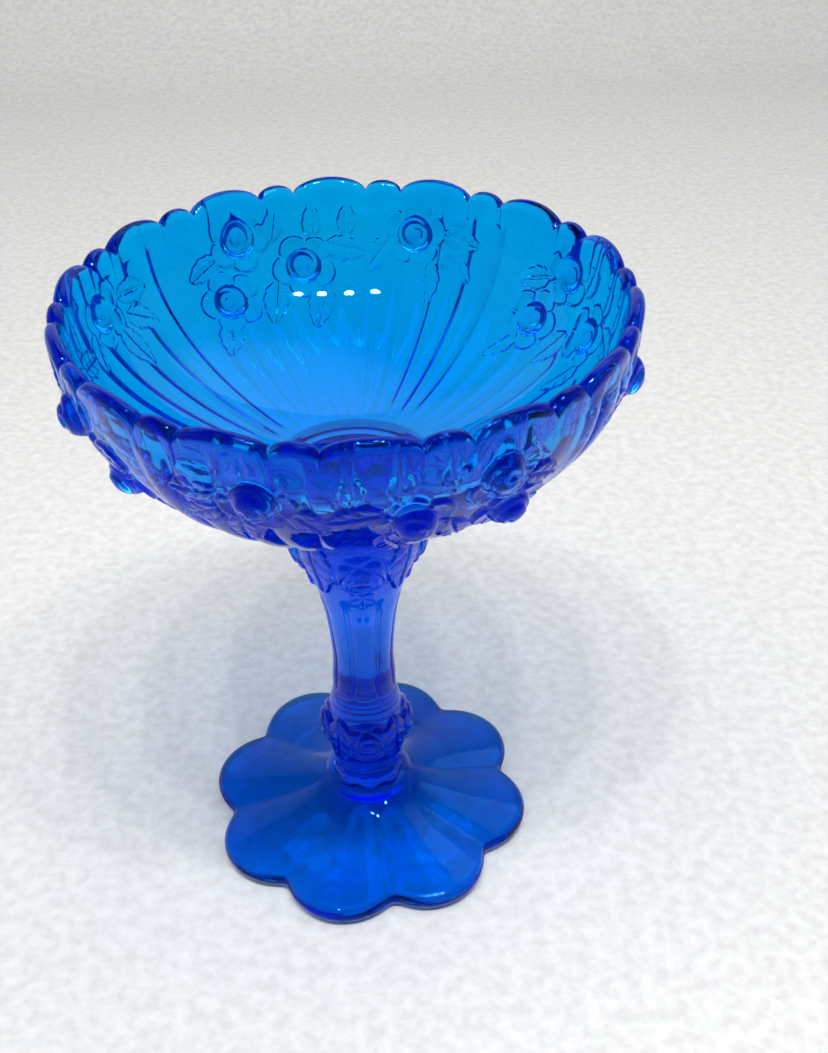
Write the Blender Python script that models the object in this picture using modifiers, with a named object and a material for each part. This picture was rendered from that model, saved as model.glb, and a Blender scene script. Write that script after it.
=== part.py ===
"""Pressed blue glass compote: a scalloped rose bowl on a fluted stem and an eight-petal foot.

Units are metres, +Z is up, the object stands on z = 0 and its axis is the Z axis.
The three gathers of glass that are joined hot in the real object are three objects here,
one on top of the other, with a hair of clearance at each joint.
"""
import math

import bmesh
import bpy
from mathutils import Matrix, Vector

# ---- driving dimensions ---------------------------------------------------------------
JOINT_GAP = 0.0003              # clearance between touching pieces
MERGE = 0.00001                 # merge distance of the turned shapes

RIM_NOTCH_RADIUS = 0.0764       # middle of the rim at a notch between two scallops
RIM_NOTCH_HEIGHT = 0.1990
RIM_EDGE_RADIUS = 0.0024        # the rim is a rounded bead
SCALLOP_PAIRS = 14              # one narrow and one wide scallop in each pair
NARROW_SHARE = 1 / 3            # share of a pair's angle that the narrow scallop takes
BOWL_TURN = math.radians(80.1)  # a narrow scallop's direction
NARROW_RISE = 0.0030            # height of a scallop's crest over the notches
WIDE_RISE = 0.0042
SCALLOP_FLARE = 0.0012          # a crest also leans outwards

# inside and outside of the bowl: quarter ovals, from their widest height down to the axis
INSIDE_RADIUS = 0.0736
INSIDE_TOP = 0.1960
INSIDE_DEPTH = 0.0455
OUTSIDE_RADIUS = 0.0778
OUTSIDE_TOP = 0.1935
OUTSIDE_DEPTH = 0.0575
OUTSIDE_ROUNDNESS = 1.82        # 2 is an ellipse, less is closer to a cone
BOWL_SEAT_HEIGHT = 0.1345       # underside, where the stem is joined
BOWL_SEAT_RADIUS = 0.0215

ROSE_PANELS = 4                 # the group of four roses repeats round the bowl
ROSE_RADIUS = 0.0064
ROSE_HALF_THICKNESS = 0.0044    # a bud is flatter than a ball
ROSE_STAND_OFF = 0.0012         # how far a bud's middle lies outside the wall
ROSE_PLACES = (                 # angle in degrees and height of each bud in one group
    (72.0, 0.1865),
    (100.8, 0.1780),
    (116.7, 0.1890),
    (123.0, 0.1722),
)

STEM_TOP = BOWL_SEAT_HEIGHT - JOINT_GAP
STEM_FLUTES = 8
STEM_FLUTE_DEPTH = 0.0009
WAIST_HEIGHT = 0.0730           # the thinnest place, where the flutes are deepest
FLUTE_REACH = 0.0320            # how far the flutes run up and down from the waist
KNOP_HEIGHT = 0.0390            # the widest place of the lower knop

FOOT_TOP = 0.0170
FOOT_TIP_RADIUS = 0.0560
FOOT_NOTCH_RADIUS = 0.0470
FOOT_PETALS = 8
FOOT_TURN = math.radians(-82.5)  # a notch's direction, which a flute of the stem shares
FOOT_HOLLOW_DEPTH = 0.0060
STEM_BASE_HEIGHT = FOOT_TOP + JOINT_GAP

BOWL_STEPS = SCALLOP_PAIRS * 6
STEM_STEPS = STEM_FLUTES * 4
FOOT_STEPS = FOOT_PETALS * 8


# ---- scene helpers --------------------------------------------------------------------
def clear_scene():
    for obj in list(bpy.data.objects):
        bpy.data.objects.remove(obj, do_unlink=True)


def new_collection(name):
    collection = bpy.data.collections.new(name)
    bpy.context.scene.collection.children.link(collection)
    return collection


def glass(name, colour, roughness):
    """Clear coloured glass."""
    material = bpy.data.materials.new(name)
    material.use_nodes = True
    shader = material.node_tree.nodes["Principled BSDF"]
    shader.inputs["Base Color"].default_value = (*colour, 1.0)
    shader.inputs["Roughness"].default_value = roughness
    shader.inputs["Metallic"].default_value = 0.0
    shader.inputs["IOR"].default_value = 1.52
    shader.inputs["Transmission Weight"].default_value = 1.0
    return material


def turned(name, outline, steps, collection):
    """Turn an (radius, height) outline, which runs outwards along the inside and back down
    the outside, once round the Z axis into a closed mesh object."""
    mesh = bpy.data.meshes.new(name + "_outline")
    points = [(radius, 0.0, height) for radius, height in outline]
    edges = [(index, index + 1) for index in range(len(points) - 1)]
    mesh.from_pydata(points, edges, [])
    guide = bpy.data.objects.new(name + "_outline", mesh)
    collection.objects.link(guide)
    screw = guide.modifiers.new("Turn", "SCREW")
    screw.steps = steps
    screw.render_steps = steps
    screw.use_merge_vertices = True
    screw.merge_threshold = MERGE
    screw.use_normal_calculate = True
    depsgraph = bpy.context.evaluated_depsgraph_get()
    solid = bpy.data.meshes.new_from_object(guide.evaluated_get(depsgraph))
    solid.name = name
    bpy.data.objects.remove(guide, do_unlink=True)
    obj = bpy.data.objects.new(name, solid)
    collection.objects.link(obj)
    solid.shade_smooth()
    return obj


def reshape(obj, rule):
    """Move every vertex by a rule that reads and returns (angle, radius, height)."""
    for vertex in obj.data.vertices:
        angle = math.atan2(vertex.co.y, vertex.co.x)
        radius = math.hypot(vertex.co.x, vertex.co.y)
        angle, radius, height = rule(angle, radius, vertex.co.z)
        vertex.co = Vector((radius * math.cos(angle), radius * math.sin(angle), height))


def finish(obj, material, sharp_degrees=40.0):
    obj.data.materials.clear()
    obj.data.materials.append(material)
    obj.data.shade_smooth()
    obj.data.set_sharp_from_angle(angle=math.radians(sharp_degrees))


# ---- repeating outlines ---------------------------------------------------------------
def offset_in_period(angle, centre, period):
    """Angle from the nearest repeat of centre, between minus and plus half a period."""
    return (angle - centre + period / 2) % period - period / 2


def half_round(offset, half_width):
    """One at the middle of a lobe and zero at its two ends, along half an ellipse."""
    return math.sqrt(max(0.0, 1.0 - (offset / half_width) ** 2))


def scallop_rise(angle):
    """Height of the rim over its notches, with a narrow scallop at zero."""
    period = 2 * math.pi / SCALLOP_PAIRS
    narrow_half = period * NARROW_SHARE / 2
    wide_half = period / 2 - narrow_half
    from_narrow = offset_in_period(angle, 0.0, period)
    if abs(from_narrow) < narrow_half:
        return NARROW_RISE * half_round(from_narrow, narrow_half)
    from_wide = offset_in_period(angle, period / 2, period)
    return WIDE_RISE * half_round(from_wide, wide_half)


def petal_share(angle):
    """Radius of the foot's edge over its largest radius, with a notch at zero.

    Each petal is the arc of a circle whose middle lies on the petal's own middle line."""
    period = 2 * math.pi / FOOT_PETALS
    notch = period / 2
    tip, dip = FOOT_TIP_RADIUS, FOOT_NOTCH_RADIUS
    centre = (tip ** 2 - dip ** 2) / (2 * (tip - dip * math.cos(notch)))
    arc = tip - centre
    offset = offset_in_period(angle, notch, period)
    reach = math.sqrt(arc ** 2 - (centre * math.sin(offset)) ** 2)
    return (centre * math.cos(offset) + reach) / tip


# ---- the pieces -----------------------------------------------------------------------
def oval_radius(height, top, radius, depth, roundness):
    """Radius of a quarter oval at a height at or under its widest place."""
    drop = max(0.0, (top - height) / depth)
    return radius * (1.0 - drop ** roundness) ** (1.0 / roundness)


def oval_points(top, radius, depth, roundness, drops):
    """Points down a quarter oval, at the given shares of its depth."""
    heights = [top - depth * drop for drop in drops]
    return [(oval_radius(height, top, radius, depth, roundness), height) for height in heights]


def bowl_outline():
    """Up the inside from the floor, over the rounded rim and down the outside."""
    middle, top, bead = RIM_NOTCH_RADIUS, RIM_NOTCH_HEIGHT, RIM_EDGE_RADIUS
    drops = [1.0, 0.985, 0.93, 0.83, 0.68, 0.50, 0.30, 0.12]
    inside = oval_points(INSIDE_TOP, INSIDE_RADIUS, INSIDE_DEPTH, 2.0, drops)
    rim = []
    for turn in (180, 135, 90, 45, 0):
        angle = math.radians(turn)
        rim.append((middle + bead * math.cos(angle), top - bead + bead * math.sin(angle)))
    drops = [0.06, 0.20, 0.36, 0.52, 0.68, 0.82, 0.93]
    outside = oval_points(OUTSIDE_TOP, OUTSIDE_RADIUS, OUTSIDE_DEPTH, OUTSIDE_ROUNDNESS, drops)
    seat = [(BOWL_SEAT_RADIUS, BOWL_SEAT_HEIGHT), (0.0, BOWL_SEAT_HEIGHT)]
    return inside + rim + outside + seat


def scalloped(angle, radius, height):
    """Raise the rim into its scallops; the wall below stays round."""
    low = INSIDE_TOP - INSIDE_DEPTH * 0.3
    share = max(0.0, (height - low) / (RIM_NOTCH_HEIGHT - low))
    rise = scallop_rise(angle)
    flare = SCALLOP_FLARE * rise / WIDE_RISE
    return angle, radius + flare * share, height + rise * share


def rose_bud(name, angle, height, cutters):
    """One round bud, half sunk in the outside of the bowl."""
    wall = oval_radius(height, OUTSIDE_TOP, OUTSIDE_RADIUS, OUTSIDE_DEPTH, OUTSIDE_ROUNDNESS)
    flattened = Matrix.Diagonal((1.0, 1.0, ROSE_HALF_THICKNESS / ROSE_RADIUS, 1.0))
    form = bmesh.new()
    bmesh.ops.create_uvsphere(
        form, u_segments=10, v_segments=6, radius=ROSE_RADIUS, matrix=flattened
    )
    mesh = bpy.data.meshes.new(name)
    form.to_mesh(mesh)
    form.free()
    bud = bpy.data.objects.new(name, mesh)
    cutters.objects.link(bud)
    reach = wall + ROSE_STAND_OFF
    bud.location = (reach * math.cos(angle), reach * math.sin(angle), height)
    bud.rotation_euler = (0.0, math.radians(90.0), angle)
    bud.hide_render = True
    bud.display_type = "WIRE"
    return bud


def make_bowl(parts, cutters):
    bowl = turned("bowl", bowl_outline(), BOWL_STEPS, parts)
    reshape(bowl, scalloped)
    bowl.rotation_euler.z = BOWL_TURN
    for panel in range(ROSE_PANELS):
        for place, (degrees, height) in enumerate(ROSE_PLACES):
            angle = math.radians(degrees) + 2 * math.pi * panel / ROSE_PANELS
            bud = rose_bud("rose_bud_%d_%d" % (panel, place), angle, height, cutters)
            union = bowl.modifiers.new(bud.name, "BOOLEAN")
            union.operation = "UNION"
            union.solver = "EXACT"
            union.object = bud
    finish(bowl, glass("bowl_glass", (0.01, 0.36, 0.90), 0.03))
    return bowl


def make_stem(parts):
    """Solid stem: a flared collar under the bowl, a fluted waist and a knop near the foot."""
    outline = [
        (0.0000, STEM_TOP),
        (0.0222, STEM_TOP),
        (0.0225, 0.1260),
        (0.0208, 0.1175),
        (0.0172, 0.1108),
        (0.0148, 0.1035),
        (0.0122, 0.0960),
        (0.0105, 0.0870),
        (0.0095, 0.0750),
        (0.0097, 0.0670),
        (0.0108, 0.0570),
        (0.0128, 0.0490),
        (0.0152, KNOP_HEIGHT + 0.0030),
        (0.0152, KNOP_HEIGHT - 0.0030),
        (0.0128, 0.0285),
        (0.0112, 0.0240),
        (0.0118, 0.0200),
        (0.0120, STEM_BASE_HEIGHT),
        (0.0000, STEM_BASE_HEIGHT),
    ]
    stem = turned("stem", outline, STEM_STEPS, parts)

    def fluted(angle, radius, height):
        waist = max(0.0, 1.0 - abs(height - WAIST_HEIGHT) / FLUTE_REACH)
        groove = 0.5 + 0.5 * math.cos(STEM_FLUTES * angle)
        return angle, radius - STEM_FLUTE_DEPTH * waist * groove, height

    reshape(stem, fluted)
    stem.rotation_euler.z = FOOT_TURN
    finish(stem, glass("stem_glass", (0.01, 0.13, 0.72), 0.04))
    return stem


def make_foot(parts):
    """Dome with eight round petals, hollow underneath; the petals' rim rests on the table."""
    tip = FOOT_TIP_RADIUS
    outline = [
        (0.0000, FOOT_TOP),
        (0.0122, FOOT_TOP),
        (0.0160, 0.0143),
        (0.0210, 0.0121),
        (0.0280, 0.0102),
        (0.0380, 0.0086),
        (tip - 0.0040, 0.0064),
        (tip - 0.0012, 0.0047),
        (tip, 0.0028),
        (tip - 0.0008, 0.0009),
        (tip - 0.0028, 0.0000),
        (tip - 0.0150, 0.0000),
        (0.0340, FOOT_HOLLOW_DEPTH * 0.35),
        (0.0260, FOOT_HOLLOW_DEPTH * 0.70),
        (0.0160, FOOT_HOLLOW_DEPTH * 0.95),
        (0.0080, FOOT_HOLLOW_DEPTH),
        (0.0000, FOOT_HOLLOW_DEPTH),
    ]
    foot = turned("foot", outline, FOOT_STEPS, parts)

    def petalled(angle, radius, height):
        share = 1.0 - petal_share(angle)
        return angle, radius * (1.0 - share * (radius / tip) ** 2), height

    reshape(foot, petalled)
    foot.rotation_euler.z = FOOT_TURN
    finish(foot, glass("foot_glass", (0.01, 0.11, 0.68), 0.05))
    return foot


def main():
    clear_scene()
    parts = new_collection("glass_compote")
    cutters = new_collection("cutters")
    make_bowl(parts, cutters)
    make_stem(parts)
    make_foot(parts)


main()
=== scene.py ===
"""Looks of the pressed blue glass compote: scalloped rose bowl, fluted stem, petalled foot.

Each CAD piece is replaced by one finely modelled piece of the same size. A piece is a closed
grid of points: rows that follow its turned outline, and columns round the Z axis. The pressed
relief, which is the ribs, roses and leaves, lifts the grid's points along their normals.
Units are metres and +Z is up. Angles are counterclockwise from +X.
"""
import math

import bpy
import numpy as np
from mathutils import Matrix, Vector


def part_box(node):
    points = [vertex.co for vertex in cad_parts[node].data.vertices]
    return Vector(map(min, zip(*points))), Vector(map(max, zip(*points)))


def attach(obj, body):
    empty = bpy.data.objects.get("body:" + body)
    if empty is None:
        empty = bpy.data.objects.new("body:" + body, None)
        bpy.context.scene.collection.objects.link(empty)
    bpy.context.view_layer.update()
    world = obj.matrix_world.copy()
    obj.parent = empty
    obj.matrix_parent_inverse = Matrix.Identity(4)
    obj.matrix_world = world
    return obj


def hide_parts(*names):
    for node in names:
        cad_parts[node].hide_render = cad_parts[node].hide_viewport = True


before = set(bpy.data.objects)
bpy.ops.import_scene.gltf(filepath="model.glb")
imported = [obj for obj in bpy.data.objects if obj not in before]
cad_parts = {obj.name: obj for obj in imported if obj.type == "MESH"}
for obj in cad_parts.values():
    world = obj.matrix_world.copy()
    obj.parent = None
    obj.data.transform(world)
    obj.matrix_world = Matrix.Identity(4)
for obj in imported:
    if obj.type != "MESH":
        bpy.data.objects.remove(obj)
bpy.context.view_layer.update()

MM = 0.001
FULL_TURN = 2 * math.pi

# ---- sizes that the CAD pieces have ---------------------------------------------------
SEAT_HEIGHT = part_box("bowl")[0].z          # underside of the bowl, on the stem
FOOT_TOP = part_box("foot")[1].z
FUSED = 0.1 * MM                           # how far the stem's ends sink into its neighbours
STEM_TOP = SEAT_HEIGHT + FUSED
STEM_FOOT = FOOT_TOP - FUSED

RIM_RADIUS = 76.4 * MM                     # middle of the rim
RIM_NOTCH_HEIGHT = 199.0 * MM
RIM_BEAD = 2.4 * MM
SCALLOP_PAIRS = 14
BOWL_TURN = math.radians(80.1)             # a narrow scallop's direction
NARROW_RISE = 3.0 * MM
WIDE_RISE = 4.1 * MM
SCALLOP_FLARE = 1.2 * MM
SCALLOP_ROOT = 188.0 * MM                  # the wall under this height stays round

INSIDE = dict(top=196.0 * MM, radius=73.6 * MM, depth=45.5 * MM, roundness=2.0)
OUTSIDE = dict(top=193.5 * MM, radius=77.8 * MM, depth=57.5 * MM, roundness=1.82)
SEAT_RADIUS = 21.5 * MM

FOOT_PETALS = 8
FOOT_TURN = math.radians(-82.5)            # a notch's direction
FOOT_TIP = 56.0 * MM
FOOT_NOTCH = 47.0 * MM
FOOT_HOLLOW = 6.0 * MM
NOTCH_SOFTNESS = math.radians(2.2)
VALLEY_DEPTH = 1.3 * MM                    # from each notch to the stem

STEM_FLUTES = 8
STEM_TURN = math.radians(-88.6)            # the middle of a flute, and of a rose


# ---- outlines -------------------------------------------------------------------------
def oval_radius(height, top, radius, depth, roundness):
    """Radius of a quarter oval at a height at or under its widest place."""
    drop = np.clip((top - height) / depth, 0.0, 1.0)
    return radius * (1.0 - drop ** roundness) ** (1.0 / roundness)


def oval_outline(top, radius, depth, roundness, count=400):
    """Many points down a quarter oval, close together near the axis."""
    turn = np.linspace(0.0, math.pi / 2, count)
    drop = np.sin(turn)
    height = top - depth * drop
    return np.stack([oval_radius(height, top, radius, depth, roundness), height], axis=1)


def spaced(points, count):
    """Points at even distances along a line of points."""
    points = np.asarray(points, float)
    steps = np.hypot(*np.diff(points, axis=0).T)
    along = np.concatenate([[0.0], np.cumsum(steps)])
    wanted = np.linspace(0.0, along[-1], count)
    return np.stack([np.interp(wanted, along, points[:, axis]) for axis in (0, 1)], axis=1)


def smooth_line(points, per_span=12):
    """A Catmull-Rom curve through a few points."""
    points = np.asarray(points, float)
    padded = np.vstack([2 * points[0] - points[1], points, 2 * points[-1] - points[-2]])
    share = np.linspace(0.0, 1.0, per_span, endpoint=False)[:, None]
    spans = []
    for before, start, end, after in zip(padded, padded[1:], padded[2:], padded[3:]):
        spans.append(
            0.5
            * (
                2 * start
                + (end - before) * share
                + (2 * before - 5 * start + 4 * end - after) * share ** 2
                + (3 * start - before - 3 * end + after) * share ** 3
            )
        )
    return np.vstack(spans + [points[-1:]])


def outline_normals(outline):
    """Normals of an outline that runs with the solid on its right-hand side."""
    ahead = np.gradient(outline, axis=0)
    normal = np.stack([-ahead[:, 1], ahead[:, 0]], axis=1)
    return normal / np.maximum(np.hypot(*normal.T), 1e-12)[:, None]


# ---- shape helpers --------------------------------------------------------------------
def ramp(value, low, high):
    """Smooth step from 0 at low to 1 at high; low may be the larger one."""
    share = np.clip((value - low) / (high - low), 0.0, 1.0)
    return share * share * (3.0 - 2.0 * share)


def band(value, start, full, last, end):
    """Smooth band: 1 from full to last, and 0 before start and after end."""
    return ramp(value, start, full) * ramp(value, end, last)


def ridge(distance, width):
    """A soft line: 1 on it and nearly 0 at twice its width away."""
    return np.exp(-((distance / width) ** 2))


def from_nearest(angle, centre, period):
    """Angle from the nearest repeat of centre."""
    return (angle - centre + period / 2) % period - period / 2


class Sheet:
    """The grid of a piece: rows of an outline turned round the axis."""

    def __init__(self, outline, columns, turn):
        self.outline = np.asarray(outline, float)
        self.angle = turn + np.arange(columns) * FULL_TURN / columns
        self.radius = np.repeat(self.outline[:, :1], columns, axis=1)
        self.height = np.repeat(self.outline[:, 1:], columns, axis=1)
        normal = outline_normals(self.outline)
        self.normal = np.stack(
            [
                normal[:, :1] * np.cos(self.angle),
                normal[:, :1] * np.sin(self.angle),
                np.repeat(normal[:, 1:], columns, axis=1),
            ],
            axis=2,
        )
        self.points = self.placed()
        self.relief = np.zeros_like(self.radius)

    def placed(self):
        """Each point from its column's angle and its own radius and height."""
        return np.stack(
            [
                self.radius * np.cos(self.angle),
                self.radius * np.sin(self.angle),
                self.height,
            ],
            axis=2,
        )

    def lifted(self, points, relief):
        """Points moved out along the outline's normals."""
        return points + self.normal * relief[:, :, None]


class Spot:
    """A place on a turned wall, with its own east, up and outward directions."""

    def __init__(self, wall, degrees, height):
        angle = math.radians(degrees)
        radius = float(wall(height))
        slope = float(wall(height + 0.5 * MM) - wall(height - 0.5 * MM)) / MM
        out = np.array([math.cos(angle), math.sin(angle), 0.0])
        self.place = radius * out + np.array([0.0, 0.0, height])
        self.east = np.array([-math.sin(angle), math.cos(angle), 0.0])
        up = slope * out + np.array([0.0, 0.0, 1.0])
        self.up = up / np.linalg.norm(up)
        self.out = np.cross(self.east, self.up)

    def near(self, points):
        """Which points are close enough to the spot's own plane to be lifted."""
        return np.abs((points - self.place) @ self.out) < NEAR

    def coordinates(self, points):
        """Distances to the east and up from the spot."""
        away = points - self.place
        return away @ self.east, away @ self.up


# ---- relief motifs --------------------------------------------------------------------
NEAR = 9.0 * MM                 # a motif only lifts points this close to its own plane
STEP = 0.55 * MM                # half the width of a pressed edge
BUD_RADIUS = 6.0 * MM
BUD_HEIGHT = 5.0 * MM
PETAL_REACH = 10.6 * MM
PETAL_HEIGHT = 1.5 * MM
PETAL_COUNT = 5
FURROW_DEPTH = 0.8 * MM
FURROWS = ((0.66, 0.0), (0.34, 2.6))        # reach over the bud's radius, turn
DOME_FURROWS = (0.30, 0.58, 0.84)           # reach over the dome's radius
DOME_FURROW_DEPTH = 0.9 * MM


def petal_ring(distance, bearing, turn):
    """Outer petals of a rose: low cups with raised edges and a groove between two petals."""
    period = FULL_TURN / PETAL_COUNT
    offset = from_nearest(bearing, turn, period)
    reach = PETAL_REACH * (0.78 + 0.22 * np.cos(offset * PETAL_COUNT / 2))
    cup = 0.30 + 0.70 * np.clip(distance / reach, 0.0, 1.0) ** 3
    inside = ramp(distance, reach + STEP, reach - STEP)
    from_groove = distance * np.abs(from_nearest(bearing, turn + period / 2, period))
    groove = 0.8 * ridge(from_groove, STEP)
    return PETAL_HEIGHT * cup * inside * (1.0 - groove)


def rose(east, up, turn):
    """A round bud with two curled furrows inside a ring of low petals."""
    distance = np.hypot(east, up)
    bearing = np.arctan2(up, east)
    share = np.clip(distance / BUD_RADIUS, 0.0, 1.0)
    dome = BUD_HEIGHT * (1.0 - share ** 2.1) ** 0.62
    furrow = np.zeros_like(distance)
    for reach, start in FURROWS:
        swing = np.cos(bearing - turn - start)
        from_curl = distance - BUD_RADIUS * reach * (1.0 + 0.18 * swing)
        furrow = np.maximum(furrow, ridge(from_curl, STEP) * ramp(swing, -0.75, 0.1))
    return np.maximum(dome - FURROW_DEPTH * furrow, petal_ring(distance, bearing, turn))


def domed_rose(distance, bearing, reach, lift):
    """A low dome with the edges of overlapping petals cut into it."""
    share = np.clip(distance / reach, 0.0, 1.0)
    dome = lift * (1.0 - share ** 2.5) ** 0.7
    cut = np.zeros_like(distance)
    for ring, place in enumerate(DOME_FURROWS):
        wave = 1.0 + 0.12 * np.cos((2 + ring) * bearing + 1.3 * ring)
        cut = np.maximum(cut, ridge(distance - place * reach * wave, STEP))
    return dome - DOME_FURROW_DEPTH * cut * ramp(share, 1.0, 0.92)


LEAF_HEIGHT = 1.2 * MM
LEAF_TEETH = 4
VEIN_DEPTH = 0.8                # over the leaf's height
SIDE_VEIN_DEPTH = 0.18


def leaf(along, across, width):
    """A pointed leaf with a toothed edge, a middle vein and side veins; along runs 0 to 1."""
    share = np.clip(along, 0.0, 1.0)
    half = width / 2 * np.sin(math.pi * share ** 0.8) ** 0.8
    tooth = (share * LEAF_TEETH) % 1.0
    half = half * (0.86 + 0.18 * tooth)
    inside = ramp(np.abs(across), half + 0.7 * STEP, half - 0.7 * STEP)
    inside = inside * ramp(along, -0.02, 0.03) * ramp(along, 1.02, 0.97)
    vein = VEIN_DEPTH * ridge(across, 0.8 * STEP)
    swept = (share * LEAF_TEETH - np.abs(across) / width * 1.6) % 1.0
    side_vein = SIDE_VEIN_DEPTH * ridge(np.minimum(swept, 1.0 - swept), 0.14)
    return LEAF_HEIGHT * inside * (1.0 - vein - side_vein * (1.0 - vein))


def add_leaf(sheet, wall, base, tip, width):
    """Press a leaf between two (degrees, height) places on the wall."""
    start = Spot(wall, *base).place
    end = Spot(wall, *tip).place
    middle = Spot(wall, (base[0] + tip[0]) / 2, (base[1] + tip[1]) / 2)
    length = np.linalg.norm(end - start)
    axis = (end - start) / length
    side = np.cross(middle.out, axis)
    away = sheet.points - start
    lift = leaf(away @ axis / length, away @ side, width)
    sheet.relief = np.maximum(sheet.relief, lift * middle.near(sheet.points))


def add_rose(sheet, wall, degrees, height, turn):
    """Press a rose at a place on the wall."""
    spot = Spot(wall, degrees, height)
    lift = rose(*spot.coordinates(sheet.points), turn)
    sheet.relief = np.maximum(sheet.relief, lift * spot.near(sheet.points))


# ---- mesh building --------------------------------------------------------------------
def mesh_piece(name, points, material):
    """A closed mesh from a grid of points whose first and last rows close on the axis."""
    rows, columns = points.shape[:2]
    first = [0.0, 0.0, float(points[0, :, 2].mean())]
    last = [0.0, 0.0, float(points[-1, :, 2].mean())]
    vertices = np.vstack([[first], points.reshape(-1, 3), [last]])
    index = 1 + np.arange(rows * columns).reshape(rows, columns)
    following = np.roll(index, -1, axis=1)
    quads = np.stack([index[:-1], index[1:], following[1:], following[:-1]], axis=2)
    faces = quads.reshape(-1, 4).tolist()
    faces += [[0, here, beside] for here, beside in zip(index[0], following[0])]
    end = len(vertices) - 1
    faces += [[end, beside, here] for here, beside in zip(index[-1], following[-1])]
    mesh = bpy.data.meshes.new(name)
    mesh.from_pydata(vertices.tolist(), [], faces)
    mesh.shade_smooth()
    mesh.materials.append(material)
    piece = bpy.data.objects.new(name, mesh)
    bpy.context.scene.collection.objects.link(piece)
    return piece


# ---- bowl -----------------------------------------------------------------------------
RIB_COUNT = 42
RIB_TURN = math.radians(142.0)              # a groove's direction
RIB_ARCH_HEIGHT = 168.0 * MM
RIB_FULLNESS = 0.110             # height of a rib over its width
GROOVE_DEPTH = 0.6 * MM          # extra depth of the grooves between two rose groups
GROOVE_WIDTH = 1.0 * MM
CALM_RIBS = 0.20                 # strength of the ribs among the roses
CALM_RIBS_LOW = 0.32             # what they gain under the arch's height
RIB_ARCH_RISE = 5.0 * MM
RIB_TOP = (195.0 * MM, 190.0 * MM)          # heights over which the ribs fade in
RIB_FOOT = (22.0 * MM, 38.0 * MM)           # radii over which they fade in from the seat
RIB_COVER = 0.5 * MM                        # relief this high hides the ribs under it
OPEN_WALL = (44.0, 52.0, 82.0, 90.0)        # degrees in a quarter turn where ribs are full
GROOVED_WALL = (47.0, 51.0, 62.0, 68.0)     # degrees in a quarter turn with deep grooves
PRESSED_FOOT = 156.0 * MM                   # roses and leaves are above this height
ROSE_PANELS = 4
BOWL_ROSES = (                  # degrees, height, turn of the petals
    (72.3, 184.6 * MM, 0.4),
    (100.8, 175.6 * MM, 1.1),
    (116.5, 186.6 * MM, 2.0),
    (122.8, 169.8 * MM, 0.1),
)
BOWL_LEAVES = (                 # base, tip, width
    ((95.5, 170.0 * MM), (100.3, 158.5 * MM), 9.0 * MM),
    ((125.0, 165.5 * MM), (131.5, 157.0 * MM), 8.5 * MM),
    ((122.5, 183.0 * MM), (132.0, 178.5 * MM), 8.0 * MM),
    ((98.0, 184.0 * MM), (97.6, 194.0 * MM), 6.5 * MM),
    ((89.5, 184.0 * MM), (88.8, 193.5 * MM), 6.5 * MM),
    ((95.0, 181.5 * MM), (83.5, 178.5 * MM), 8.5 * MM),
    ((65.0, 186.0 * MM), (54.5, 183.8 * MM), 8.0 * MM),
    ((64.5, 180.0 * MM), (55.5, 173.0 * MM), 8.0 * MM),
    ((68.5, 178.0 * MM), (66.5, 165.0 * MM), 8.5 * MM),
    ((78.5, 183.0 * MM), (84.5, 173.0 * MM), 8.5 * MM),
    ((108.5, 172.5 * MM), (113.0, 161.0 * MM), 8.5 * MM),
    ((108.5, 184.0 * MM), (106.5, 194.0 * MM), 7.0 * MM),
)


def bowl_wall(height):
    """Radius of the bowl's outside."""
    return oval_radius(np.asarray(height), **OUTSIDE)


def bowl_outline(detail):
    """Inside floor to rim, over the rim's bead, down the outside and in to the axis."""
    inside = spaced(oval_outline(**INSIDE)[::-1], int(30 * detail))[1:-1]
    turn = np.linspace(math.pi, 0.0, int(14 * detail))
    bead = np.stack(
        [
            RIM_RADIUS + RIM_BEAD * np.cos(turn),
            RIM_NOTCH_HEIGHT - RIM_BEAD + RIM_BEAD * np.sin(turn),
        ],
        axis=1,
    )
    wall = oval_outline(**OUTSIDE)
    wall = wall[(wall[:, 1] < OUTSIDE["top"] - MM) & (wall[:, 0] > SEAT_RADIUS + 2 * MM)]
    pressed = spaced(wall[wall[:, 1] > PRESSED_FOOT], int(100 * detail))
    plain = spaced(wall[wall[:, 1] <= PRESSED_FOOT], int(28 * detail))
    neck = smooth_line(
        [
            plain[-1],
            (SEAT_RADIUS + 0.4 * MM, SEAT_HEIGHT + 1.5 * MM),
            (SEAT_RADIUS - 0.3 * MM, SEAT_HEIGHT),
            (0.6 * SEAT_RADIUS, SEAT_HEIGHT),
            (0.2 * SEAT_RADIUS, SEAT_HEIGHT),
        ],
        3,
    )[1:]
    neck[:, 1] = np.maximum(neck[:, 1], SEAT_HEIGHT)
    return np.vstack([inside, bead, pressed, plain, neck]), len(inside) + len(bead)


def rib_relief(sheet):
    """Rounded ribs down the wall that meet in fine grooves; lower and calmer by the roses."""
    period = FULL_TURN / RIB_COUNT
    offset = from_nearest(sheet.angle, RIB_TURN + period / 2, period) / (period / 2)
    width = sheet.radius * period
    crown = RIB_FULLNESS * width * (1.0 - offset ** 2)
    quarter = math.degrees(1) * (sheet.angle % (math.pi / 2))
    open_wall = band(quarter, *OPEN_WALL)
    arch = RIB_ARCH_HEIGHT - RIB_ARCH_RISE * offset ** 2
    low = ramp(sheet.height, arch, arch - 2.0 * MM)
    strength = np.maximum(open_wall, CALM_RIBS + CALM_RIBS_LOW * low)
    from_groove = (1.0 - np.abs(offset)) * width / 2
    groove = GROOVE_DEPTH * ridge(from_groove, GROOVE_WIDTH) * band(quarter, *GROOVED_WALL)
    fade = ramp(sheet.height, *RIB_TOP) * ramp(sheet.radius, *RIB_FOOT)
    return (crown * strength - groove) * fade


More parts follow.
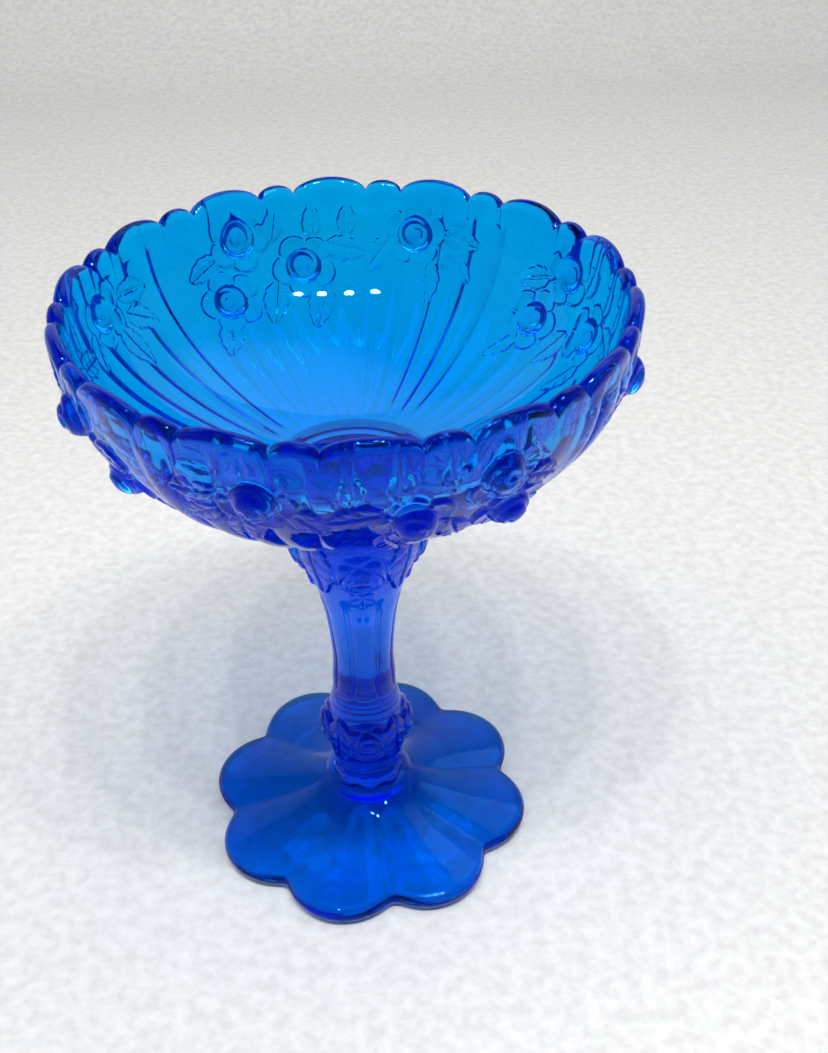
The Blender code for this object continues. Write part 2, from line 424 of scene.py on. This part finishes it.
def scallop_rise(angle):
    """How much higher the rim is than at its notches."""
    period = FULL_TURN / SCALLOP_PAIRS
    narrow_half, wide_half = period / 6, period / 3
    narrow = np.clip(np.abs(from_nearest(angle, BOWL_TURN, period)) / narrow_half, 0, 1)
    wide = from_nearest(angle, BOWL_TURN + period / 2, period)
    wide = np.clip(np.abs(wide) / wide_half, 0, 1)
    return NARROW_RISE * (1 - narrow ** 2) ** 0.6 + WIDE_RISE * (1 - wide ** 2) ** 0.6


def make_bowl(material, detail):
    """Ribbed bowl with the same roses and leaves in each panel and a scalloped rim."""
    outline, first_outside = bowl_outline(detail)
    columns = SCALLOP_PAIRS * 6 * int(12 * detail)
    sheet = Sheet(outline, columns, BOWL_TURN)
    for panel in range(ROSE_PANELS):
        corner = 360.0 / ROSE_PANELS * panel
        for degrees, height, turn in BOWL_ROSES:
            add_rose(sheet, bowl_wall, degrees + corner, height, turn + panel)
        for base, tip, width in BOWL_LEAVES:
            base = (base[0] + corner, base[1])
            tip = (tip[0] + corner, tip[1])
            add_leaf(sheet, bowl_wall, base, tip, width)
    covered = np.clip(sheet.relief / RIB_COVER, 0.0, 1.0)
    sheet.relief += rib_relief(sheet) * (1.0 - covered)
    sheet.relief[:first_outside] = 0.0
    points = sheet.lifted(sheet.points, sheet.relief)
    share = np.clip((points[..., 2] - SCALLOP_ROOT) / (RIM_NOTCH_HEIGHT - SCALLOP_ROOT), 0, 1)
    rise = scallop_rise(sheet.angle) * share ** 1.3
    flare = SCALLOP_FLARE * rise / WIDE_RISE
    points[..., 0] += flare * np.cos(sheet.angle)
    points[..., 1] += flare * np.sin(sheet.angle)
    points[..., 2] += rise
    return mesh_piece("bowl_glass", points, material)


# ---- stem -----------------------------------------------------------------------------
STEM_WALL = (                   # radius and height down the outside, in millimetres
    (20.6, 134.2),
    (20.8, 130.0),
    (20.2, 124.5),
    (18.6, 118.0),
    (16.5, 111.5),
    (14.7, 104.3),
    (12.4, 97.0),
    (10.9, 89.0),
    (9.7, 76.0),
    (9.6, 68.0),
    (10.5, 58.0),
    (12.0, 50.0),
    (13.0, 43.0),
    (13.1, 37.0),
    (12.6, 31.0),
    (12.2, 28.0),
    (11.2, 24.5),
    (11.2, 21.5),
    (12.2, 19.2),
    (12.0, 17.3),
)
FLUTE_REACH = (56.0 * MM, 64.0 * MM, 96.0 * MM, 103.0 * MM)
FLUTE_COVER = 0.4 * MM          # relief this high hides the panels under it
LOBE_LIFT = 0.4 * MM            # of the rounded lobes round the stem's base
KNOP_HEIGHT = 41.0 * MM
COLLAR_ROSE_HEIGHT = 117.0 * MM
STEM_ROSES = (                  # height, reach, lift
    (COLLAR_ROSE_HEIGHT, 9.2 * MM, 3.4 * MM),
    (KNOP_HEIGHT, 8.2 * MM, 2.8 * MM),
)
STEM_LEAVES = (                 # degrees from a rose and height of the base and the tip, width
    ((45.0, 131.0 * MM), (45.0, 106.0 * MM), 13.0 * MM),
    ((0.0, 113.0 * MM), (0.0, 101.0 * MM), 9.0 * MM),
    ((45.0, 49.0 * MM), (45.0, 30.0 * MM), 10.0 * MM),
)


def stem_outline(detail):
    """Top from the axis out, down the wall, then in to the axis."""
    wall = smooth_line(np.array(STEM_WALL) * MM, int(12 * detail))
    top = [(share * wall[0, 0], STEM_TOP) for share in (0.2, 0.6, 0.93)]
    wall[0, 1] = STEM_TOP - 0.8 * MM
    foot = [(11.5 * MM, STEM_FOOT), (8.0 * MM, STEM_FOOT), (3.0 * MM, STEM_FOOT)]
    return np.vstack([top, wall, foot])


def stem_wall(height):
    """Radius of the stem's outside."""
    wall = np.array(STEM_WALL)[::-1] * MM
    return np.interp(height, wall[:, 1], wall[:, 0])


def flute_relief(sheet):
    """Grooves between the stem's flat panels, from the knop up to the collar's roses."""
    period = FULL_TURN / STEM_FLUTES
    offset = from_nearest(sheet.angle, STEM_TURN, period) / (period / 2)
    width = sheet.radius * period
    from_groove = (1.0 - np.abs(offset)) * width / 2
    crown = 0.07 * width * (1.0 - offset ** 2)
    groove = 0.5 * MM * ridge(from_groove, 0.5 * MM)
    return (crown - groove) * band(sheet.height, *FLUTE_REACH)


def make_stem(material, detail):
    """Stem with flat panels, and roses and leaves on its collar and its knop."""
    columns = STEM_FLUTES * 6 * int(8 * detail)
    sheet = Sheet(stem_outline(detail), columns, STEM_TURN)
    for quarter in range(4):
        middle = math.degrees(STEM_TURN) + 90.0 * quarter
        for base, tip, width in STEM_LEAVES:
            base = (base[0] + middle, base[1])
            tip = (tip[0] + middle, tip[1])
            add_leaf(sheet, stem_wall, base, tip, width)
        for height, reach, lift in STEM_ROSES:
            spot = Spot(stem_wall, middle, height)
            east, up = spot.coordinates(sheet.points)
            facing = sheet.points[..., :2] @ spot.place[:2] > 0
            bloom = domed_rose(np.hypot(east, up), np.arctan2(up, east), reach, lift)
            bloom = bloom * spot.near(sheet.points) * facing
            sheet.relief = np.maximum(sheet.relief, bloom)
    covered = np.clip(sheet.relief / FLUTE_COVER, 0.0, 1.0)
    sheet.relief += flute_relief(sheet) * (1.0 - covered)
    lobes = np.cos(STEM_FLUTES * (sheet.angle - STEM_TURN))
    base = ramp(sheet.height, 25 * MM, 20 * MM) * (sheet.radius > 9 * MM)
    sheet.relief += LOBE_LIFT * lobes * base
    sheet.relief[sheet.height > STEM_TOP - 2 * MM] = 0.0
    return mesh_piece("stem_glass", sheet.lifted(sheet.points, sheet.relief), material)


# ---- foot -----------------------------------------------------------------------------
def foot_outline(detail):
    """Top from the axis out, round the edge, then in along the ring and the hollow."""
    tip = FOOT_TIP
    top = smooth_line(
        [
            (3.0 * MM, FOOT_TOP),
            (12.2 * MM, FOOT_TOP),
            (16.0 * MM, 14.6 * MM),
            (21.0 * MM, 12.3 * MM),
            (28.0 * MM, 10.3 * MM),
            (38.0 * MM, 8.7 * MM),
            (tip - 4.5 * MM, 6.9 * MM),
        ],
        int(8 * detail),
    )
    thick = top[-1, 1]
    turn = np.linspace(0.42 * math.pi, -0.5 * math.pi, int(18 * detail))
    depth = 0.55 * thick
    edge = np.stack(
        [
            tip - depth + depth * np.cos(turn),
            thick / 2 + thick / 2 * np.sin(turn),
        ],
        axis=1,
    )
    below = smooth_line(
        [
            (tip - 5.0 * MM, 0.0),
            (tip - 10.0 * MM, 0.0),
            (tip - 16.0 * MM, 0.12 * FOOT_HOLLOW),
            (tip - 26.0 * MM, 0.58 * FOOT_HOLLOW),
            (tip - 38.0 * MM, 0.94 * FOOT_HOLLOW),
            (10.0 * MM, FOOT_HOLLOW),
            (3.0 * MM, FOOT_HOLLOW),
        ],
        int(5 * detail),
    )
    below[:, 1] = np.clip(below[:, 1], 0.0, FOOT_HOLLOW)
    return np.vstack([top, edge, below])


def petal_share(angle):
    """Radius of the foot's edge over its largest radius: round petals, softened notches."""
    period = FULL_TURN / FOOT_PETALS
    notch = period / 2
    centre = (FOOT_TIP ** 2 - FOOT_NOTCH ** 2) / (2 * (FOOT_TIP - FOOT_NOTCH * math.cos(notch)))
    arc = FOOT_TIP - centre
    from_notch = np.abs(from_nearest(angle, FOOT_TURN, period))
    softened = np.sqrt(from_notch ** 2 + NOTCH_SOFTNESS ** 2)
    offset = np.clip(notch - softened, 0.0, notch)
    reach = np.sqrt(arc ** 2 - (centre * np.sin(offset)) ** 2)
    return (centre * np.cos(offset) + reach) / FOOT_TIP


def make_foot(material, detail):
    """Domed foot with round petals and a shallow valley from each notch."""
    outline = foot_outline(detail)
    columns = FOOT_PETALS * int(64 * detail)
    sheet = Sheet(outline, columns, FOOT_TURN)
    share = (sheet.radius / FOOT_TIP) ** 2
    narrowed = sheet.radius * (1.0 - (1.0 - petal_share(sheet.angle)) * share)
    period = FULL_TURN / FOOT_PETALS
    from_notch = np.abs(from_nearest(sheet.angle, FOOT_TURN, period)) / (period / 2)
    valley = (1.0 - np.sqrt(from_notch ** 2 + 0.1 ** 2)) ** 2
    on_top = (sheet.normal[..., 2] > 0.2) * ramp(sheet.radius, 13 * MM, 26 * MM)
    sheet.radius = narrowed
    sheet.height = sheet.height - VALLEY_DEPTH * valley * on_top
    return mesh_piece("foot_glass", sheet.placed(), material)


# ---- materials ------------------------------------------------------------------------
GLASS_IOR = 1.52
GLINT_TINT = (0.06, 0.42, 1.0)
ABSORPTION_DENSITY = 1500.0     # light left after d metres is exp(-d * density * (1 - colour))
BOWL_ABSORPTION = (0.0, 0.974, 0.997)
STEM_ABSORPTION = (0.0, 0.958, 0.997)
BOWL_TINTS = ((0.01, 0.46, 0.98), (0.03, 0.54, 1.0))
STEM_TINTS = ((0.01, 0.44, 0.98), (0.03, 0.52, 1.0))
STREAK_SCALE = 22.0             # broad streaks, about 45 mm apart
WAVE_SCALE = 140.0              # small waves in the surface, about 7 mm apart
WAVE_HEIGHT = 0.3 * MM
MOTTLE_SCALE = 220.0            # grain of the counter, about 5 mm
COUNTER_DARK = (0.34, 0.338, 0.332)
COUNTER_LIGHT = (0.40, 0.398, 0.392)


def blue_glass(name, tints, absorbed, seed):
    """Clear blue pressed glass: tinted through its depth, with faint streaks and waves."""
    material = bpy.data.materials.new(name)
    material.use_nodes = True
    nodes, links = material.node_tree.nodes, material.node_tree.links
    shader = nodes["Principled BSDF"]
    shader.inputs["Transmission Weight"].default_value = 1.0
    shader.inputs["IOR"].default_value = GLASS_IOR
    shader.inputs["Specular Tint"].default_value = (*GLINT_TINT, 1.0)
    shader.inputs["Metallic"].default_value = 0.0

    place = nodes.new("ShaderNodeTexCoord")
    streaks = nodes.new("ShaderNodeTexNoise")
    streaks.noise_dimensions = "4D"
    streaks.inputs["W"].default_value = seed
    streaks.inputs["Scale"].default_value = STREAK_SCALE
    streaks.inputs["Detail"].default_value = 3.0
    links.new(place.outputs["Object"], streaks.inputs["Vector"])

    colours = nodes.new("ShaderNodeValToRGB")
    colours.color_ramp.elements[0].position = 0.35
    colours.color_ramp.elements[0].color = (*tints[0], 1.0)
    colours.color_ramp.elements[1].position = 0.70
    colours.color_ramp.elements[1].color = (*tints[1], 1.0)
    links.new(streaks.outputs["Fac"], colours.inputs["Fac"])
    links.new(colours.outputs["Color"], shader.inputs["Base Color"])

    gloss = nodes.new("ShaderNodeMapRange")
    gloss.inputs["To Min"].default_value = 0.0
    gloss.inputs["To Max"].default_value = 0.05
    links.new(streaks.outputs["Fac"], gloss.inputs["Value"])
    links.new(gloss.outputs["Result"], shader.inputs["Roughness"])

    waves = nodes.new("ShaderNodeTexNoise")
    waves.inputs["Scale"].default_value = WAVE_SCALE
    waves.inputs["Detail"].default_value = 2.0
    links.new(place.outputs["Object"], waves.inputs["Vector"])
    bump = nodes.new("ShaderNodeBump")
    bump.inputs["Strength"].default_value = 0.12
    bump.inputs["Distance"].default_value = WAVE_HEIGHT
    links.new(waves.outputs["Fac"], bump.inputs["Height"])
    links.new(bump.outputs["Normal"], shader.inputs["Normal"])

    absorption = nodes.new("ShaderNodeVolumeAbsorption")
    absorption.inputs["Color"].default_value = (*absorbed, 1.0)
    absorption.inputs["Density"].default_value = ABSORPTION_DENSITY
    links.new(absorption.outputs["Volume"], nodes["Material Output"].inputs["Volume"])
    return material


def pale_surface(name, dark, light):
    """Matt pale counter with faint mottling."""
    material = bpy.data.materials.new(name)
    material.use_nodes = True
    nodes, links = material.node_tree.nodes, material.node_tree.links
    shader = nodes["Principled BSDF"]
    shader.inputs["Roughness"].default_value = 0.6
    mottle = nodes.new("ShaderNodeTexNoise")
    mottle.inputs["Scale"].default_value = MOTTLE_SCALE
    mottle.inputs["Detail"].default_value = 6.0
    colours = nodes.new("ShaderNodeValToRGB")
    colours.color_ramp.elements[0].position = 0.35
    colours.color_ramp.elements[0].color = (*dark, 1.0)
    colours.color_ramp.elements[1].position = 0.65
    colours.color_ramp.elements[1].color = (*light, 1.0)
    place = nodes.new("ShaderNodeTexCoord")
    links.new(place.outputs["Object"], mottle.inputs["Vector"])
    links.new(mottle.outputs["Fac"], colours.inputs["Fac"])
    links.new(colours.outputs["Color"], shader.inputs["Base Color"])
    return material


# ---- stage ----------------------------------------------------------------------------
CAMERA_PLACE = Vector((0.0, -0.3130, 0.3524))
CAMERA_YAW = 0.0554                        # radians, clockwise from +Y
CAMERA_PITCH = 0.6355                      # radians, down from level
CAMERA_ROLL = -0.0137                      # radians
LENS_MM = 43.4
WALL_BRIGHTNESS = 0.34
CEILING_BRIGHTNESS = 0.08
WINDOW_DIRECTION = (0.25, 0.55, 0.80)
WINDOW_STRENGTH = 1.4
FLOOR_HEIGHT = -0.3 * MM                   # a hair below the foot, so that no faces coincide
FLOOR_STEPS = 12                           # in the curve from the counter up to the wall
BOWL_MIDDLE = (0.0, 0.0, 0.15)
SOFTBOX_SIZE = 1.15
SOFTBOXES = (                              # name, place, watts
    ("softbox_left", (-0.55, -0.15, 1.3), 17.5),
    ("softbox_right", (0.55, 0.05, 1.3), 14.5),
)
LAMP_COUNT = 4                             # a row of small round ceiling lamps
LAMP_SPACING = 0.20
LAMP_ROW = (0.08, -0.42, 1.40)             # the middle of the row
LAMP_SIZE = 0.08
LAMP_WATTS = 6.0


def make_camera():
    """A camera in front of the object and above it, turned down toward the foot."""
    data = bpy.data.cameras.new("camera")
    data.sensor_width = 36.0
    data.lens = LENS_MM
    data.clip_start = 0.01
    camera = bpy.data.objects.new("camera", data)
    turn = (
        Matrix.Rotation(-CAMERA_YAW, 4, "Z")
        @ Matrix.Rotation(math.pi / 2 - CAMERA_PITCH, 4, "X")
        @ Matrix.Rotation(CAMERA_ROLL, 4, "Z")
    )
    camera.matrix_world = Matrix.Translation(CAMERA_PLACE) @ turn
    bpy.context.scene.collection.objects.link(camera)
    bpy.context.scene.camera = camera


def make_floor():
    """A pale counter that curves up into a wall behind."""
    half, front, back, bend, top = 1.6, -1.6, 1.05, 0.25, 1.3
    outline = [(front, FLOOR_HEIGHT), (back - bend, FLOOR_HEIGHT)]
    for step in range(1, FLOOR_STEPS + 1):
        turn = math.pi / 2 * step / FLOOR_STEPS
        rise = bend - bend * math.cos(turn)
        outline.append((back - bend + bend * math.sin(turn), FLOOR_HEIGHT + rise))
    outline.append((back, top))
    vertices = [(side * half, y, z) for y, z in outline for side in (-1, 1)]
    faces = [(2 * i, 2 * i + 1, 2 * i + 3, 2 * i + 2) for i in range(len(outline) - 1)]
    mesh = bpy.data.meshes.new("floor")
    mesh.from_pydata(vertices, [], faces)
    mesh.shade_smooth()
    mesh.materials.append(pale_surface("counter", COUNTER_DARK, COUNTER_LIGHT))
    floor = bpy.data.objects.new("floor", mesh)
    bpy.context.scene.collection.objects.link(floor)


def area_lamp(name, place, size, watts, shape):
    """An area lamp that is aimed at the bowl."""
    data = bpy.data.lights.new(name, "AREA")
    data.shape = shape
    data.size = size
    data.energy = watts
    lamp = bpy.data.objects.new(name, data)
    lamp.location = place
    toward = Vector(BOWL_MIDDLE) - Vector(place)
    lamp.rotation_euler = toward.to_track_quat("-Z", "Y").to_euler()
    bpy.context.scene.collection.objects.link(lamp)
    return lamp


def soft_room():
    """A pale room: bright low down, where its walls are, with one broad soft window."""
    world = bpy.data.worlds.new("soft_room")
    world.use_nodes = True
    nodes, links = world.node_tree.nodes, world.node_tree.links
    place = nodes.new("ShaderNodeTexCoord")
    split = nodes.new("ShaderNodeSeparateXYZ")
    walls = nodes.new("ShaderNodeMapRange")
    walls.inputs["From Min"].default_value = 0.25
    walls.inputs["From Max"].default_value = 0.90
    walls.inputs["To Min"].default_value = WALL_BRIGHTNESS
    walls.inputs["To Max"].default_value = CEILING_BRIGHTNESS
    toward = nodes.new("ShaderNodeVectorMath")
    toward.operation = "DOT_PRODUCT"
    toward.inputs[1].default_value = Vector(WINDOW_DIRECTION).normalized()
    window = nodes.new("ShaderNodeMapRange")
    window.interpolation_type = "SMOOTHSTEP"
    window.inputs["From Min"].default_value = 0.86
    window.inputs["From Max"].default_value = 0.98
    window.inputs["To Max"].default_value = WINDOW_STRENGTH
    total = nodes.new("ShaderNodeMath")
    links.new(place.outputs["Generated"], split.inputs["Vector"])
    links.new(split.outputs["Z"], walls.inputs["Value"])
    links.new(place.outputs["Generated"], toward.inputs[0])
    links.new(toward.outputs["Value"], window.inputs["Value"])
    links.new(walls.outputs["Result"], total.inputs[0])
    links.new(window.outputs["Result"], total.inputs[1])
    links.new(total.outputs["Value"], nodes["Background"].inputs["Strength"])
    nodes["Background"].inputs["Color"].default_value = (0.97, 0.99, 1.0, 1.0)
    bpy.context.scene.world = world


def make_lights():
    """Two softboxes that reflections leave out, and a row of lamps that glint on the glass."""
    for name, place, watts in SOFTBOXES:
        area_lamp(name, place, SOFTBOX_SIZE, watts, "SQUARE").visible_glossy = False
    middle, y, z = LAMP_ROW
    for index in range(LAMP_COUNT):
        x = middle + LAMP_SPACING * (index - (LAMP_COUNT - 1) / 2)
        area_lamp("lamp_%d" % index, (x, y, z), LAMP_SIZE, LAMP_WATTS, "DISK")


def set_render_paths():
    """Enough bounces for light to pass the walls of the glass, and natural colours."""
    scene = bpy.context.scene
    scene.cycles.max_bounces = 24
    scene.cycles.transmission_bounces = 24
    scene.cycles.glossy_bounces = 8
    scene.cycles.diffuse_bounces = 4
    scene.cycles.volume_bounces = 0
    scene.cycles.sample_clamp_indirect = 20.0
    scene.cycles.blur_glossy = 0.6
    scene.cycles.use_denoising = True
    scene.view_settings.view_transform = "Standard"


def make_compote():
    """The three glass pieces, each in place of its CAD body."""
    detail = 1.0
    for make, node, tints, absorbed, seed in (
        (make_bowl, "bowl", BOWL_TINTS, BOWL_ABSORPTION, 1.0),
        (make_stem, "stem", STEM_TINTS, STEM_ABSORPTION, 2.0),
        (make_foot, "foot", STEM_TINTS, BOWL_ABSORPTION, 3.0),
    ):
        material = blue_glass("blue_glass_" + node, tints, absorbed, seed)
        piece = make(material, detail)
        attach(piece, "root")
        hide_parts(node)


make_camera()
make_floor()
soft_room()
make_lights()
make_compote()
set_render_paths()
